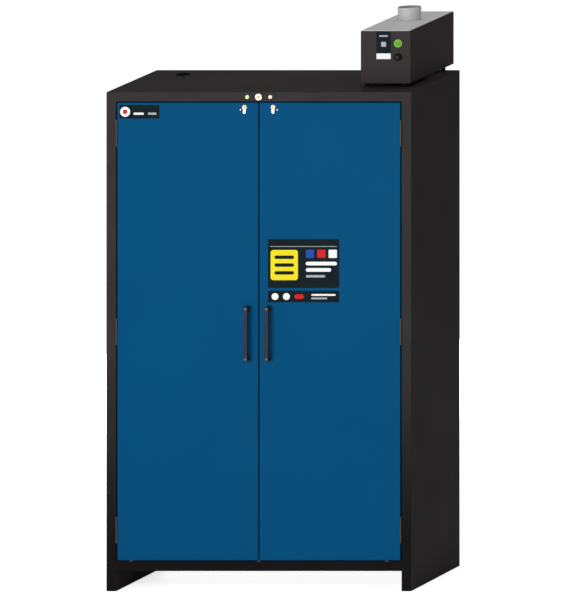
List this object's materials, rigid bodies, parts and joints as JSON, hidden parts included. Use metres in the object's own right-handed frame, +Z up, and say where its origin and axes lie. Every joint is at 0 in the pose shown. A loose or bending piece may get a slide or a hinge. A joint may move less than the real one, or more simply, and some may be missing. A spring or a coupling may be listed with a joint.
{
  "type": "battery charging cabinet",
  "caption": "Tall two-door fire-resistant cabinet for charging and storing batteries, with pull handles, door locks, shelves with socket strips, and an exhaust fan unit on its roof.",
  "frame": {"origin": "floor level, under the middle of the overall bounding box with the doors shut", "axes": "+Z up along the cabinet's height, +X to the viewer's right along the doors, +Y from the doors to the back"},
  "size_m": [1.193, 0.733, 2.226],
  "materials": {
    "bezel": "lit ring",
    "bolt_steel": "ground",
    "carcass_paint": "fine-texture anthracite powder coat",
    "detector": "matt white",
    "door_liner": "light grey powder-coated sheet",
    "door_paint": "satin blue powder coat",
    "fan_plastic": "matt black",
    "feet_rubber": "matt black",
    "galvanised": "galvanised sheet",
    "gasket_rubber": "matt black",
    "grommet": "matt black",
    "handle": "satin dark grey",
    "hinge_steel": "satin dark coating",
    "insulation": "pressed mineral-fibre board, matt",
    "lens_amber": "lit lens",
    "lens_green": "lit lens",
    "lining_board": "melamine-faced board, satin white",
    "lock_brass": "satin",
    "lock_nickel": "satin nickel",
    "motor": "grey coated",
    "mute_button": "gloss black",
    "pin_steel": "turned",
    "screw_steel": "bright zinc",
    "seal_strip": "matt dark grey",
    "shelf_sheet": "light grey powder coat",
    "socket_plastic": "matt black",
    "spigot": "light grey satin",
    "start_button": "lit green",
    "strip_aluminium": "matt anodised",
    "tray_sheet": "grey powder coat",
    "unit_cover": "light grey satin powder coat",
    "unit_paint": "fine-texture anthracite powder coat"
  },
  "bodies": {
    "cabinet": {"air_duct": "galvanised", "amber_lamp": "lens_amber", "back_panel": "carcass_paint", "base_panel": "carcass_paint", "door_frame": "carcass_paint", "fan_motor": "motor", "fire_detector": "detector", "floor_tray": "tray_sheet", "frame_gasket": "gasket_rubber", "frame_hinge_leaves_left": "hinge_steel", "frame_hinge_leaves_right": "hinge_steel", "green_lamp": "lens_green", "hinge_pins": "pin_steel", "inner_lining": "lining_board", "insulation_boards": "insulation", "key_switch_body": "lock_nickel", "lintel": "carcass_paint", "mute_bezel": "mute_button", "roof_grommet": "grommet", "roof_panel": "carcass_paint", "shelf_1": "shelf_sheet", "shelf_2": "shelf_sheet", "shelf_3": "shelf_sheet", "shelf_4": "shelf_sheet", "shelf_clips": "galvanised", "shelf_rails": "galvanised", "side_panel_left": "carcass_paint", "side_panel_right": "carcass_paint", "sill": "carcass_paint", "socket_inserts": "socket_plastic", "socket_strips": "strip_aluminium", "start_bezel": "bezel", "unit_casing": "unit_paint", "unit_cover": "unit_cover", "unit_feet": "feet_rubber", "unit_spigot": "spigot"},
    "left_door": {"door_skin_left": "door_paint", "door_core_left": "insulation", "door_liner_left": "door_liner", "door_seal_left": "seal_strip", "door_hinge_leaves_left": "hinge_steel", "handle_left": "handle", "handle_screws_left": "screw_steel", "lock_cylinder_left": "lock_nickel"},
    "left_lock_plug": {"lock_plug_left": "lock_brass"},
    "left_lock_bolt": {"lock_bolt_left": "bolt_steel"},
    "right_door": {"door_skin_right": "door_paint", "door_core_right": "insulation", "door_liner_right": "door_liner", "door_seal_right": "seal_strip", "door_hinge_leaves_right": "hinge_steel", "handle_right": "handle", "handle_screws_right": "screw_steel", "lock_cylinder_right": "lock_nickel"},
    "right_lock_plug": {"lock_plug_right": "lock_brass"},
    "right_lock_bolt": {"lock_bolt_right": "bolt_steel"},
    "key_plug": {"key_switch_plug": "lock_brass"},
    "start_button": {"start_button": "start_button"},
    "mute_button": {"mute_button": "mute_button"},
    "fan_wheel": {"fan_wheel": "fan_plastic"}
  },
  "joints": [
    {"name": "left_door_swing", "type": "hinge", "parent": "cabinet", "child": "left_door", "pos_m": [-0.556, -0.3315, 1.0165], "axis": [0, 0, -1], "range_deg": [0, 110]},
    {"name": "left_lock_turn", "type": "hinge", "parent": "left_door", "child": "left_lock_plug", "pos_m": [-0.056, -0.3305, 1.894], "axis": [0, 1, 0], "range_deg": [0, 90.01]},
    {"name": "left_bolt_slide", "type": "slide", "parent": "left_door", "child": "left_lock_bolt", "axis": [0, 0, 1], "range_m": [0, 0.014]},
    {"name": "right_door_swing", "type": "hinge", "parent": "cabinet", "child": "right_door", "pos_m": [0.556, -0.3315, 1.0165], "axis": [0, 0, 1], "range_deg": [0, 110]},
    {"name": "right_lock_turn", "type": "hinge", "parent": "right_door", "child": "right_lock_plug", "pos_m": [0.056, -0.3305, 1.894], "axis": [0, -1, 0], "range_deg": [0, 90.01]},
    {"name": "right_bolt_slide", "type": "slide", "parent": "right_door", "child": "right_lock_bolt", "axis": [0, 0, 1], "range_m": [0, 0.014]},
    {"name": "key_switch_turn", "type": "hinge", "parent": "cabinet", "child": "key_plug", "pos_m": [0, -0.3285, 1.9345], "axis": [0, 1, 0], "range_deg": [0, 90]},
    {"name": "start_button_press", "type": "slide", "parent": "cabinet", "child": "start_button", "axis": [0, 1, 0], "range_m": [0, 0.003], "stiffness_N_per_m": 300},
    {"name": "mute_button_press", "type": "slide", "parent": "cabinet", "child": "mute_button", "axis": [0, 1, 0], "range_m": [0, 0.003], "stiffness_N_per_m": 300},
    {"name": "fan_spin", "type": "hinge", "parent": "cabinet", "child": "fan_wheel", "pos_m": [0.451, 0.1555, 2.0265], "axis": [0, 0, 1], "continuous": true}
  ],
  "couplings": [
    {"joint": "left_lock_turn", "follows": "left_bolt_slide", "rad_per_m": 112.2},
    {"joint": "right_lock_turn", "follows": "right_bolt_slide", "rad_per_m": 112.2}
  ]
}
